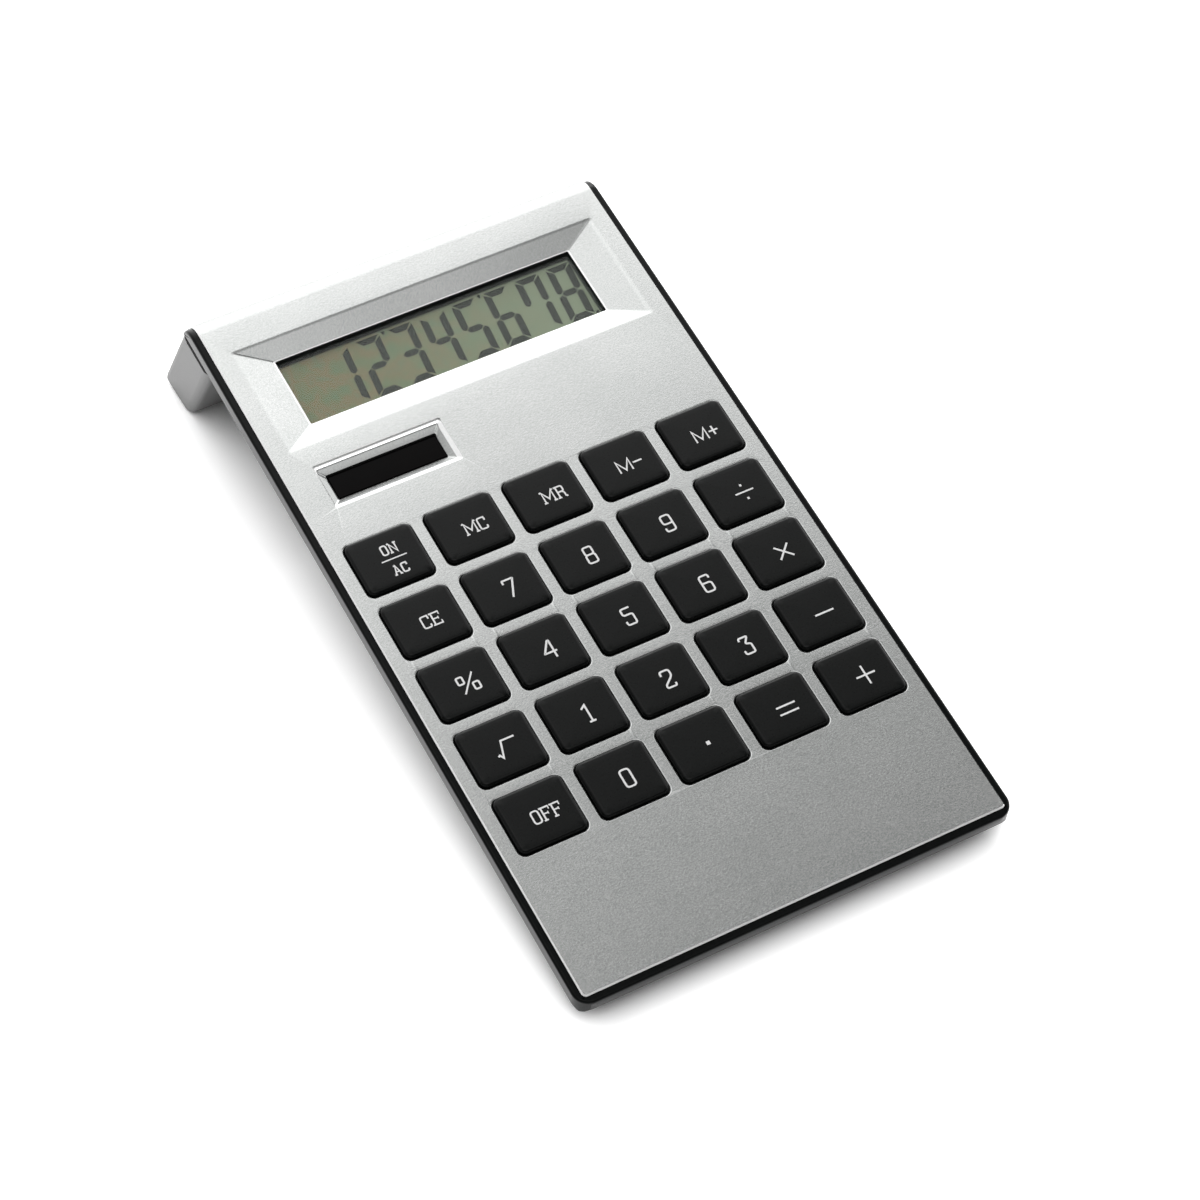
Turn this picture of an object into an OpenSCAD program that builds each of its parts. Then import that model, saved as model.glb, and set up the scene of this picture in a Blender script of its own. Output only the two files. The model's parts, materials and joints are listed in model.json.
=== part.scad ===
// Desk calculator: a sloping case on a fixed leaning foot, with 25 keys and a solar-assisted
// display. Lengths are in millimetres. Most parts are drawn in the case frame: X across,
// Y up the slope from the front edge, and Z out of the panel, whose top surface is at Z = 0.
// "Depth" is the distance below that surface. The foot is drawn upright, from the table.

/* [Case] */
// Width of the case
case_w = 100; // [98:1:110]
// Slope of the panel above the table, in degrees
tilt = 8; // [6:1:9]
// Height of the panel's front edge above the table
lip_z = 8.3; // [8.3:0.1:9]
// Depth of the belly
case_d = 9; // [9:0.1:10]
// Wall thickness of the belly
belly_t = 1.5; // [1.2:0.1:1.5]
// Radius of the case's front corners
corner_r = 3.7; // [2:0.1:5]
// Width of the black ledge that shows around the panel
ledge_w = 1.6; // [1.2:0.1:2]
// Depth of the ledge
ledge_d = 0.5; // [0.3:0.1:0.8]

/* [Front panel] */
// Thickness of the panel
panel_t = 1.5; // [1.2:0.1:1.5]
// Distance up the slope at which the panel rolls over
roll_y = 180; // [178:0.5:182]
// Outer radius of the roll-over
roll_r = 6.5; // [6:0.1:7]
// Straight stretch after the roll-over
roll_tail = 0.7; // [0.5:0.1:1]

/* [Foot] */
// Lean of the foot from upright, in degrees
foot_lean = 31; // [28:1:32]
// Thickness of the foot along the table
foot_w = 15; // [14:0.5:16]
// Wall thickness of the foot
foot_t = 2; // [1.6:0.1:2]
// Height of the foot's bottom above the table
foot_gap = 0.8; // [0.5:0.1:1]
// Radius of the foot's rear bottom edge
foot_rear_r = 1.5; // [1:0.1:2]
// Radius of the foot's front bottom edge
foot_front_r = 2.5; // [2:0.1:3]

/* [Keys] */
// Distance between key columns
pitch_x = 18.6; // [18.4:0.1:19]
// Distance between key rows
pitch_y = 17.02; // [16.8:0.02:17.4]
// Distance up the slope of the lowest key row
first_row_y = 41.3; // [41:0.1:43]
// Width of a key
key_w = 15.2; // [14.8:0.1:15.4]
// Length of a key up the slope
key_l = 13.7; // [13.3:0.1:13.9]
// Height of a key above the panel
key_h = 1; // [0.8:0.1:1.5]
// Corner radius of a key
key_r = 1.2; // [0.8:0.1:1.5]
// Gap between a key and its hole
key_gap = 0.2; // [0.15:0.05:0.25]
// Travel of a key
travel = 1.2; // [1:0.1:1.2]

/* [Display] */
// Width and length of the recess at the panel's surface
recess_size = [88.4, 29.4]; // [20:0.1:90]
// Distance up the slope of the recess's middle
recess_y = 158.1; // [157:0.1:159]
// Width and length of the display opening
view_size = [72, 18.4]; // [10:0.1:74]
// Distance up the slope of the opening's middle
view_y = 158.9; // [158:0.1:160]
// Depth of the sloped faces
recess_d = 2.3; // [2:0.1:2.4]

/* [Solar cell] */
// Middle of the recess around the solar window
solar_recess_at = [-26.4, 131.7]; // [-30:0.1:135]
// Width and length of that recess
solar_recess_size = [29.8, 11.2]; // [8:0.1:31]
// Middle of the solar window
solar_at = [-26.5, 132.1]; // [-30:0.1:135]
// Width and length of the solar window
solar_size = [25.6, 6.3]; // [5:0.1:27]
// Depth of the solar recess
solar_recess_d = 1.3; // [1:0.1:1.3]

/* [Battery] */
// Diameter of the button cell
cell_dia = 11.6; // [11.6:0.1:11.8]
// Thickness of the button cell
cell_t = 3.05; // [2.9:0.05:3.05]
// Radius of the battery cover
cover_r = 8.15; // [8:0.05:8.2]

/* [Hidden] */
$fn = 48;
SILVER = "silver";
BLACK = "#202322";
GREY = "#8a8d8c";
COLUMNS = 5;
ROWS = 5;
// key names by row, from the rear row to the front one
KEY_NAMES = [
  ["on_ac", "mc", "mr", "m_minus", "m_plus"],
  ["ce", "7", "8", "9", "divide"],
  ["percent", "4", "5", "6", "multiply"],
  ["root", "1", "2", "3", "minus"],
  ["off", "0", "point", "equals", "plus"]
];
KEYS = [
  for (row = [0:ROWS - 1])
    for (column = [0:COLUMNS - 1])
      [str("key_", KEY_NAMES[row][column]), key_x(column), key_y(row)]
];
FIXED_NODES = [
  "front_panel", "rear_casing", "rear_foot", "display_window", "front_polariser", "front_glass",
  "rear_glass", "reflector", "display_holder", "display_ribbon", "solar_window", "solar_cell",
  "solar_pad", "keypad_mat", "contact_pills", "main_board", "chip_blob", "filter_capacitor",
  "clamp_led", "chip_capacitors", "board_screws", "case_screws", "foot_screws", "battery_cover",
  "button_cell", "positive_contact", "negative_contact", "battery_lead_red",
  "battery_lead_black", "solar_lead_red", "solar_lead_black", "front_rubber_feet",
  "rear_rubber_feet"
];

// Small gap that keeps two touching parts apart
fit = 0.05;
// Length that carries a cut past the face it opens
over = 1;
// Overlap that joins an arc to the straight stretch after it
lap = 0.01;

// The roll-over turns the panel into line with the foot's rear face
turn = 90 - foot_lean + tilt;
panel_w = case_w - 2 * ledge_w;
// Radius, about the roll-over's middle, of the casing's rear face inside the foot
rear_r = roll_r - foot_t - fit;

// Front of the casing: the wall's lower edge, the knee under it, and where the belly starts
front_wall_d = 3.4;
front_knee = [0.7, 4.6];
belly_y = 9;
// Sides of the casing: the wall's lower edge, the knee's inset and depth, and the belly's inset
side_wall_d = 4.2;
side_knee = [1, 5.4];
belly_inset = 6;

// Hollow of the casing: a wide upper part over a narrower lower part
upper_half_w = case_w / 2 - 3.2;
lower_half_w = case_w / 2 - 6.4;
upper_d = 5;
upper_y = 4;
lower_y = 10;
cavity_rear_y = roll_y + 2;
floor_d = case_d - belly_t;

// Layers inside, as depths of their top faces and as thicknesses
board_d = 5.35;
board_t = 1;
mat_t = 0.7;
hole_size = [key_w + 2 * key_gap, key_l + 2 * key_gap];
flange_d = panel_t + fit;
flange_t = 0.8;
flange_grow = 1.6;
flange_r = 1.5;
cap_wall = 1.2;
plunger_d = 2.9;
plunger_r = 3;
plunger_bore_r = 2.2;
dome_top_d = plunger_d + fit;
dome_r = 4;
dome_top_r = 2.9;
dome_wall = 0.7;
dome_roof = 0.65;
dome_h = board_d - mat_t + fit - dome_top_d;
pill_r = 1.5;
pill_t = board_d - dome_top_d - dome_roof - travel;

// Display parts
tub_d = 3.1;
tub_size = [92.4, 33.8];
window_t = 0.6;
polariser_t = 0.2;
glass_t = 1.1;
glass_w = 75;
glass_y = [145.4, 172.4];
rear_glass_y = 148.3;
polariser_size = [74, 23];
front_glass_d = board_d - 0.2 - glass_t;
rear_glass_d = front_glass_d + glass_t;
reflector_d = rear_glass_d + glass_t;
reflector_y = rear_glass_y + 0.5;
holder_size = [77.4, 30.8];
holder_y = 159;
holder_pocket_w = 75.3;
holder_pocket_y = [145.2, 172.6];
holder_d = tub_d + fit;
holder_floor_d = 7.3;
ribbon_y = [140, 148];
ribbon_w = 58;

// Solar parts
solar_tub_d = 2.6;
solar_tub_size = [33, 15.2];
solar_flange_size = [29, 9.6];
solar_cell_size = [30, 12];
solar_cell_d = 3.35;

// Battery compartment
cell_at = [0, 19.5];
cell_d = floor_d - cell_t - 0.1;
cover_hole_r = cover_r + 0.2;
cover_groove_r = 10.4;
cover_lug_r = 10.2;
cover_lug_t = 0.5;
cover_open_angle = 40;
well_r = [10.6, 11.6];
cradle_r = [6, 7];
cradle_d = [4.6, 6.6];
leaf_d = cell_d - 0.3;
leaf_t = 0.25;

// Fasteners: places in the case frame
CASE_BOSSES = [[-38, 14, 2.6], [38, 14, 2.6], [-41.2, 167, 2.2], [41.2, 167, 2.2]];
BOARD_BOSSES = [
  [-1.5 * pitch_x, 30.8, 2.2], [1.5 * pitch_x, 30.8, 2.2],
  [-1.5 * pitch_x, 120, 2.2], [1.5 * pitch_x, 120, 2.2],
  [-0.5 * pitch_x, key_y(2.5), 1.45], [0.5 * pitch_x, key_y(2.5), 1.45]
];
FOOT_BOSSES = [[-30, 179, 2.6], [30, 179, 2.6]];
boss_end_d = 5.4;
screw_r = 1;
small_screw_r = 0.7;
counterbore_d = 1.2;

// Foot profile, upright, with Y measured on the level from the panel's front edge
roll_end = level(roll_point(roll_r, 0));
foot_rear_y = roll_end[0] + (roll_end[1] - foot_gap) * tan(foot_lean);
foot_front_y = foot_rear_y - foot_w;
foot_rear_c = foot_rear_y - foot_rear_r / tan((90 - foot_lean) / 2);
foot_front_c = foot_front_y + foot_front_r / tan((90 + foot_lean) / 2);
foot_pad_y = (foot_rear_c + foot_front_c) / 2;
foot_edge_r = 2.2;
pad_r = 4.2;
pad_sink = 0.4;
pad_x = 38;

// The origin is on the table, below the middle of the whole object
front_reach = ledge_d * sin(tilt);
rear_reach = foot_rear_c + foot_rear_r;
lip_y = -(front_reach + rear_reach) / 2;

// Column 0 is the leftmost one and row 0 is the rear one
function key_x(column) = (column - (COLUMNS - 1) / 2) * pitch_x;
function key_y(row) = first_row_y + (ROWS - 1 - row) * pitch_y;

// Point in the case frame at a radius about the roll-over's middle, past the end of its arc
function roll_point(r, past) = [
  roll_y + r * sin(turn) + past * cos(turn),
  -roll_r + r * cos(turn) - past * sin(turn)
];

// A [Y, Z] point of the case frame, as Y on the level from the panel's front edge and Z above
// the table
function level(p) = [
  p[0] * cos(tilt) - p[1] * sin(tilt),
  lip_z + p[0] * sin(tilt) + p[1] * cos(tilt)
];

// ---- frames and shared shapes ----

// Places what is drawn in the case frame on the table
module on_slope() {
  translate([0, lip_y, lip_z]) rotate([tilt, 0, 0]) children();
}

// Places what is drawn upright, from the panel's front edge
module from_lip() {
  translate([0, lip_y, 0]) children();
}

// Extrudes a [Y, Z] outline across X, centred
module across(w) {
  rotate([90, 0, 90]) linear_extrude(height = w, center = true) children();
}

// Extrudes an [X, Z] outline along Y, from y0 to y1
module along(y0, y1) {
  translate([0, y1, 0]) rotate([90, 0, 0]) linear_extrude(height = y1 - y0) children();
}

// Box centred in X and Y, between two depths
module slab(size, at, top, bottom) {
  translate([at[0] - size[0] / 2, at[1] - size[1] / 2, -bottom])
    cube([size[0], size[1], bottom - top]);
}

// Box centred in X, between two distances up the slope and two depths
module slab_from(w, y0, y1, top, bottom) {
  slab([w, y1 - y0], [0, (y0 + y1) / 2], top, bottom);
}

// Upright cylinder between two depths
module post(at, r, top, bottom) {
  translate([at[0], at[1], -bottom]) cylinder(h = bottom - top, r = r);
}

// Rectangle with round corners, centred
module round_rect(size, r) {
  square([size[0] - 2 * r, size[1]], center = true);
  square([size[0], size[1] - 2 * r], center = true);
  for (sx = [-1, 1], sy = [-1, 1])
    translate([sx * (size[0] / 2 - r), sy * (size[1] / 2 - r)]) circle(r = r);
}

// Round-cornered block, centred, between two depths
module round_slab(size, r, at, top, bottom) {
  translate([at[0], at[1], -bottom]) linear_extrude(height = bottom - top) round_rect(size, r);
}

// Wire through a list of points, with round bends
module wire(points, r) {
  for (i = [0:len(points) - 2]) {
    step = points[i + 1] - points[i];
    translate(points[i])
      rotate([0, acos(step[2] / norm(step)), atan2(step[1], step[0])])
        cylinder(h = norm(step), r = r);
  }
  for (i = [1:len(points) - 2]) translate(points[i]) sphere(r = 1.06 * r);
}

// Wedge that holds the roll-over's arc, about the arc's middle
module roll_wedge() {
  far = 3 * roll_r;
  polygon([[0, 0], [0, far], [far, far], far * [sin(turn), cos(turn)]]);
}

// Outline of a skin that follows the panel, between two depths, from start up the slope
module band(top, bottom, start, tail) {
  translate([start, -bottom]) square([roll_y - start, bottom - top]);
  translate([roll_y, -roll_r]) {
    intersection() {
      difference() {
        circle(r = roll_r - top);
        circle(r = roll_r - bottom);
      }
      roll_wedge();
    }
    rotate(-turn) translate([-lap, roll_r - bottom]) square([tail + lap, bottom - top]);
  }
}

// Plan of a plate that starts at y0, with round front corners
module plan(w, y0, r) {
  translate([-w / 2, y0 + r]) square([w, roll_y + 2 * roll_r - y0 - r]);
  translate([r - w / 2, y0]) square([w - 2 * r, 2 * r]);
  for (side = [-1, 1]) translate([side * (w / 2 - r), y0 + r]) circle(r = r);
}

// Outline of a sloped-sided recess along one direction, from its opening's ends at depth d to
// its ends at the surface, and past the surface
module recess_side(outer_mid, outer_size, inner_mid, inner_size, d) {
  spread = 1 + over / d;
  low = inner_mid - inner_size / 2;
  high = inner_mid + inner_size / 2;
  polygon([
    [low, -d], [high, -d],
    [high + spread * (outer_mid + outer_size / 2 - high), over],
    [low - spread * (low - outer_mid + outer_size / 2), over]
  ]);
}

// Sloped-sided recess from the panel's surface down to an opening
module sloped_cut(outer_at, outer, inner_at, inner, d) {
  intersection() {
    across(case_w) recess_side(outer_at[1], outer[1], inner_at[1], inner[1], d);
    along(outer_at[1] - outer[1], outer_at[1] + outer[1])
      recess_side(outer_at[0], outer[0], inner_at[0], inner[0], d);
  }
}

// Screw with a round head, drawn head down along +Z
module screw(at, r, head_r, head_d, head_t, tip_d) {
  post(at, head_r, head_d, head_d + head_t);
  post(at, r, tip_d, head_d);
}

// ---- case ----

// Outline of the casing seen from the side
module casing_side() {
  r = roll_r - ledge_d;
  past_end = (case_d - roll_r + rear_r * cos(turn)) / sin(turn);
  difference() {
    polygon([
      [0, -ledge_d], [roll_y + r * tan(turn / 2), -ledge_d],
      roll_point(r, roll_tail), roll_point(rear_r, roll_tail), roll_point(rear_r, past_end),
      [belly_y, -case_d], [front_knee[0], -front_knee[1]], [0, -front_wall_d]
    ]);
    translate([roll_y, -roll_r]) difference() {
      roll_wedge();
      circle(r = r);
    }
  }
}

// Outside of the casing, as one solid
module casing_outer() intersection() {
  across(case_w) casing_side();
  along(-over, roll_y + 2 * roll_r) polygon([
    [-case_w / 2, over], [-case_w / 2, -side_wall_d],
    [side_knee[0] - case_w / 2, -side_knee[1]], [belly_inset - case_w / 2, -case_d - over],
    [case_w / 2 - belly_inset, -case_d - over], [case_w / 2 - side_knee[0], -side_knee[1]],
    [case_w / 2, -side_wall_d], [case_w / 2, over]
  ]);
  translate([0, 0, -2 * case_d]) linear_extrude(height = 3 * case_d) plan(case_w, 0, corner_r);
}

module front_panel() color(SILVER) on_slope() difference() {
  union() {
    intersection() {
      across(panel_w) band(0, panel_t, ledge_w, roll_tail);
      translate([0, 0, -2 * case_d]) linear_extrude(height = 3 * case_d) plan(panel_w, ledge_w, 1);
    }
    slab(tub_size, [0, recess_y], panel_t, tub_d);
    slab(solar_tub_size, solar_at, panel_t, solar_tub_d);
    for (b = BOARD_BOSSES) post(b, b[2], panel_t - fit, board_d);
    for (b = CASE_BOSSES) post(b, b[2], panel_t - fit, boss_end_d);
  }
  for (key = KEYS)
    round_slab(hole_size, key_r + 0.1, [key[1], key[2]], -over, panel_t + over);
  sloped_cut([0, recess_y], recess_size, [0, view_y], view_size, recess_d);
  slab(view_size, [0, view_y], recess_d - fit, tub_d + over);
  sloped_cut(solar_recess_at, solar_recess_size, solar_at, solar_size, solar_recess_d);
  slab(solar_size, solar_at, solar_recess_d - fit, solar_tub_d + over);
  for (b = BOARD_BOSSES) post(b, small_screw_r, 3, board_d + over);
  for (b = CASE_BOSSES) post(b, screw_r, 3.2, boss_end_d + over);
}

// Ring, spokes and well wall that hold the button cell inside the casing
module battery_well() {
  difference() {
    post(cell_at, well_r[1], cradle_d[0], floor_d + fit);
    post(cell_at, well_r[0], 0, case_d);
  }
  difference() {
    union() {
      post(cell_at, cradle_r[1], cradle_d[0], cradle_d[1]);
      for (a = [45, 135]) translate([cell_at[0], cell_at[1], 0]) rotate(a)
        slab([2 * well_r[0] + over, 1.4], [0, 0], cradle_d[0] + 0.3, cradle_d[1] - 0.3);
    }
    post(cell_at, cradle_r[0], 0, case_d);
    slab([2.6, 3.6], [cell_at[0] + cradle_r[1], cell_at[1]], 0, case_d);
  }
}

module rear_casing() color(BLACK) on_slope() intersection() {
  casing_outer();
  difference() {
    union() {
      difference() {
        slab([case_w, 2 * roll_y], [0, roll_y], 0, case_d + over);
        across(panel_w + 2 * fit) band(-2, panel_t + fit, ledge_w - fit, 3 * roll_r);
        post(cell_at, well_r[0], 0, floor_d);
        slab_from(2 * upper_half_w, upper_y, cavity_rear_y, 0, upper_d);
        slab_from(2 * lower_half_w, lower_y, cavity_rear_y, 0, floor_d);
      }
      for (b = CASE_BOSSES) post(b, b[2], boss_end_d + fit, floor_d + fit);
      battery_well();
    }
    for (b = CASE_BOSSES) {
      post(b, screw_r + 0.15, 0, case_d + over);
      post(b, screw_r + 1.2, case_d - counterbore_d, case_d + over);
    }
    for (b = FOOT_BOSSES) post(b, screw_r + 0.15, floor_d - over, case_d + over);
    post(cell_at, cover_hole_r, floor_d - fit, case_d + over);
    translate([cell_at[0], cell_at[1], 0]) rotate(90 + cover_open_angle)
      intersection() {
        post([0, 0], cover_groove_r, floor_d - fit, case_d + over);
        slab([2 * cover_groove_r, 6.4], [0, 0], 0, case_d + over);
      }
  }
}

module foot_outline(inset) {
  lean = [sin(foot_lean), -cos(foot_lean)];
  out = [cos(foot_lean), sin(foot_lean)];
  rear_r_in = foot_rear_r - min(inset, foot_rear_r - 0.2);
  front_r_in = foot_front_r - min(inset, foot_front_r - 0.2);
  rear_shift = (inset - (foot_rear_r - rear_r_in)) * (1 + 1 / tan((90 - foot_lean) / 2));
  rear_c = [foot_rear_c - rear_shift, foot_gap + inset + rear_r_in];
  front_c = [foot_front_c, foot_gap + inset + front_r_in];
  rear_t = rear_c + rear_r_in * out;
  front_t = front_c - front_r_in * out;
  climb = roll_end[1] / cos(foot_lean) + roll_r;
  polygon([
    rear_t, [rear_c[0], foot_gap + inset], [front_c[0], foot_gap + inset], front_t,
    front_t - climb * lean, rear_t - climb * lean
  ]);
  translate(rear_c) circle(r = rear_r_in);
  translate(front_c) circle(r = front_r_in);
}

// Cuts off everything above the line where the foot meets the casing's wall
module below_seam() {
  on_slope() across(2 * case_w) polygon([
    roll_point(roll_r + 3 * over, roll_tail + fit), roll_point(rear_r - over, roll_tail + fit),
    [0, -side_wall_d], [0, -60], [260, -60]
  ]);
}

module foot_solid(inset) intersection() {
  across(case_w - 2 * inset) foot_outline(inset);
  translate([0, foot_rear_y, foot_gap]) rotate([foot_lean, 0, 0])
    translate([0, -foot_w * cos(foot_lean) / 2, 0])
      linear_extrude(height = 120, center = true)
        round_rect([case_w - 2 * inset, foot_w * cos(foot_lean) - 2 * inset], foot_edge_r - inset * 0.9);
}

module rear_foot() color(SILVER) difference() {
  intersection() {
    union() {
      difference() {
        from_lip() foot_solid(0);
        from_lip() foot_solid(foot_t);
      }
      intersection() {
        from_lip() foot_solid(fit);
        on_slope() for (b = FOOT_BOSSES) post(b, b[2], 0, 20);
      }
    }
    below_seam();
  }
  on_slope() translate([0, 2 * fit, -fit]) casing_outer();
  on_slope() for (b = FOOT_BOSSES) post(b, screw_r, 0, 17);
  foot_pads(pad_r + 0.1);
}

module foot_pads(r) from_lip()
  for (side = [-1, 1])
    translate([side * pad_x, foot_pad_y, 0]) cylinder(h = foot_gap + pad_sink, r = r);

module front_rubber_feet() color("#3a3c3b") intersection() {
  on_slope() for (b = [CASE_BOSSES[0], CASE_BOSSES[1]]) post(b, 5, case_d, case_d + 4);
  translate([0, 0, 50]) cube([2 * case_w, 3 * case_w, 100], center = true);
}

module rear_rubber_feet() color("#3a3c3b") foot_pads(pad_r);

// ---- fasteners ----

module case_screws() color(GREY) on_slope()
  for (b = CASE_BOSSES) screw(b, screw_r, 1.9, case_d - counterbore_d, 0.8, 3.3);

module board_screws() color(GREY) on_slope()
  for (b = BOARD_BOSSES) screw(b, small_screw_r, 1.4, board_d + board_t, 0.7, 3.1);

module foot_screws() color(GREY) on_slope()
  for (b = FOOT_BOSSES) {
    post(b, 1.9, floor_d - 0.8, floor_d);
    post(b, screw_r, floor_d, 16.5);
  }

// ---- display ----

module display_window() color("#d8dcda", 0.4) on_slope()
  slab_from(glass_w, glass_y[0], glass_y[1], tub_d + fit, tub_d + fit + window_t);

module front_polariser() color("#8e9a80") on_slope()
  slab(polariser_size, [0, view_y], front_glass_d - polariser_t, front_glass_d);

module front_glass() color("#a9b59c", 0.5) on_slope()
  slab_from(glass_w, glass_y[0], glass_y[1], front_glass_d, rear_glass_d);

module rear_glass() color("#a9b59c", 0.5) on_slope()
  slab_from(glass_w, rear_glass_y, glass_y[1], rear_glass_d, reflector_d);

module reflector() color("#b9bfae") on_slope()
  slab_from(polariser_size[0], reflector_y, reflector_y + polariser_size[1], reflector_d,
    reflector_d + polariser_t);

module display_holder() color(BLACK) on_slope() difference() {
  slab(holder_size, [0, holder_y], holder_d, holder_floor_d);
  slab_from(holder_pocket_w, holder_pocket_y[0], holder_pocket_y[1], 0, holder_floor_d - 0.6);
  slab([66, 18], [0, view_y], 0, case_d);
  slab([ribbon_w + 1, 4], [0, holder_pocket_y[0] - 1.5], rear_glass_d - 0.2, rear_glass_d + 0.5);
}

module display_ribbon() color("#c8a050") on_slope()
  slab_from(ribbon_w, ribbon_y[0], ribbon_y[1], rear_glass_d, board_d);

// ---- solar cell ----

module solar_window() color("#181a1c") on_slope() {
  slab([solar_size[0] - 2 * fit, solar_size[1] - 2 * fit], solar_at, solar_recess_d + 0.1,
    solar_tub_d + 2 * fit);
  slab(solar_flange_size, solar_at, solar_tub_d + fit, solar_tub_d + 0.65);
}

module solar_cell() color("#241a1c") on_slope()
  slab(solar_cell_size, solar_at, solar_cell_d, solar_cell_d + glass_t);

module solar_pad() color("#3c3c3c") on_slope()
  slab([24, 9], solar_at, solar_cell_d + glass_t, board_d);

module solar_lead_red() color("#b02820") on_slope()
  wire([[-40.3, 129, -4.9], [-40.3, 124.5, -4.9], [-38.8, 121.6, -4.9]], 0.4);

module solar_lead_black() color(BLACK) on_slope()
  wire([[-12.8, 129, -4.9], [-12.8, 124.5, -4.9], [-14.3, 121.6, -4.9]], 0.4);

// ---- keypad and board ----

module keypad_mat() color("#d9dad6") on_slope() difference() {
  union() {
    slab([84, 84], [0, key_y(2)], board_d - mat_t, board_d);
    for (key = KEYS)
      translate([key[1], key[2], mat_t - fit - board_d])
        cylinder(h = dome_h, r1 = dome_r, r2 = dome_top_r);
  }
  for (key = KEYS) {
    post([key[1], key[2]], dome_r - dome_wall, board_d - mat_t, board_d + over);
    translate([key[1], key[2], mat_t - fit - board_d])
      cylinder(h = dome_h - dome_roof, r1 = dome_r - dome_wall, r2 = dome_top_r - dome_wall);
  }
  for (i = [4, 5]) post(BOARD_BOSSES[i], BOARD_BOSSES[i][2] + 0.3, 0, board_d + over);
}

module contact_pills() color("#26282a") on_slope()
  for (key = KEYS) post([key[1], key[2]], pill_r, dome_top_d + dome_roof, dome_top_d + dome_roof + pill_t);

module main_board() color("#3f6b3a") on_slope() difference() {
  translate([-42, 28, -board_d - board_t]) cube([84, 115, board_t]);
  post(cell_at, well_r[1] + 0.8, 0, case_d);
  for (b = BOARD_BOSSES) post(b, small_screw_r + 0.2, board_d - over, board_d + board_t + over);
}

module chip_blob() color(BLACK) on_slope()
  intersection() {
    translate([20, 131, -board_d - 10]) sphere(r = 12);
    post([20, 131], 8, board_d - 3, board_d);
  }

module filter_capacitor() color("#2b3f66") on_slope() {
  post([3, 132], 2, 1.9, board_d - 0.2);
  post([3, 132], 1.6, board_d - 0.2, board_d);
}

module clamp_led() color("#c23a30") on_slope() {
  post([35, 131], 1.9, board_d - 0.8, board_d);
  post([35, 131], 1.5, board_d - 1.9, board_d - 0.8);
  translate([35, 131, 1.9 - board_d]) sphere(r = 1.5);
}

module chip_capacitors() color("#b89a6a") on_slope()
  for (x = [-4, 10, 30]) slab([2, 1.25], [x, 138], board_d - 0.9, board_d);

// ---- battery ----

module battery_cover() color(BLACK) on_slope() difference() {
  union() {
    post(cell_at, cover_r, floor_d, case_d);
    intersection() {
      difference() {
        union() {
          post(cell_at, cover_lug_r, floor_d - 0.1 - cover_lug_t, floor_d - 0.1);
          post(cell_at, cover_r, floor_d - 0.1 - cover_lug_t, floor_d + fit);
        }
        post(cell_at, cradle_r[1] - 0.4, 0, floor_d);
      }
      translate([cell_at[0], cell_at[1], 0]) slab([5.6, 2 * cover_lug_r + over], [0, 0], 0, case_d);
    }
  }
  slab([11, 1.8], cell_at, case_d - 0.7, case_d + over);
}

module button_cell() color(GREY) on_slope() {
  post(cell_at, cell_dia / 2, cell_d + 0.3, cell_d + cell_t);
  post(cell_at, cell_dia / 2 - 1, cell_d, cell_d + 0.3);
}

module positive_contact() color("#c9b06a") on_slope() {
  slab([0.3, 2.6], [cell_at[0] + cell_dia / 2 + 0.2, cell_at[1]], 4.1, floor_d - 0.3);
  slab([6.5, 2.6], [cell_at[0] + cell_dia / 2 + 3.3, cell_at[1]], 4.1, 4.35);
  slab([0.25, 2.6], [cell_at[0] + well_r[1] + 0.4, cell_at[1]], 4.1, 6.3);
}

module negative_contact() color("#c9b06a") on_slope() {
  slab([4.4, 16.6], [cell_at[0], cell_at[1] + 3.9], leaf_d, leaf_d + leaf_t);
  slab([3, 3], cell_at, leaf_d, cell_d);
  slab([4.4, 0.25], [cell_at[0], cell_at[1] + well_r[1] + 0.4], leaf_d, 6.1);
}

module battery_lead_red() color("#b02820") on_slope()
  wire([[12.7, 19.5, -5], [14.6, 21.5, -5], [16.5, 29.5, -4.8]], 0.5);

module battery_lead_black() color(BLACK) on_slope()
  wire([[-1.6, 32.2, -4.8], [-7, 32, -4.8], [-13, 30.2, -4.8]], 0.5);

// ---- keys ----

module key_cap(at) color(BLACK) on_slope() difference() {
  union() {
    round_slab([key_w, key_l], key_r, at, -key_h, flange_d + fit);
    round_slab([key_w + flange_grow, key_l + flange_grow], flange_r, at, flange_d, flange_d + flange_t);
    post(at, plunger_r, 0, plunger_d);
  }
  difference() {
    slab([key_w - 2 * cap_wall, key_l - 2 * cap_wall], at, cap_wall - key_h, plunger_d + over);
    post(at, plunger_r, -key_h, plunger_d + 2 * over);
  }
  post(at, plunger_bore_r, cap_wall - key_h, plunger_d + over);
}

front_panel();
rear_casing();
rear_foot();
display_window();
front_polariser();
front_glass();
rear_glass();
reflector();
display_holder();
display_ribbon();
solar_window();
solar_cell();
solar_pad();
keypad_mat();
contact_pills();
main_board();
chip_blob();
filter_capacitor();
clamp_led();
chip_capacitors();
board_screws();
case_screws();
foot_screws();
battery_cover();
button_cell();
positive_contact();
negative_contact();
battery_lead_red();
battery_lead_black();
solar_lead_red();
solar_lead_black();
front_rubber_feet();
rear_rubber_feet();
for (key = KEYS) key_cap([key[1], key[2]]);
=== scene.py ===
import json
import math

import bmesh
import bpy
from mathutils import Matrix, Vector
from mathutils.geometry import delaunay_2d_cdt


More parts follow.
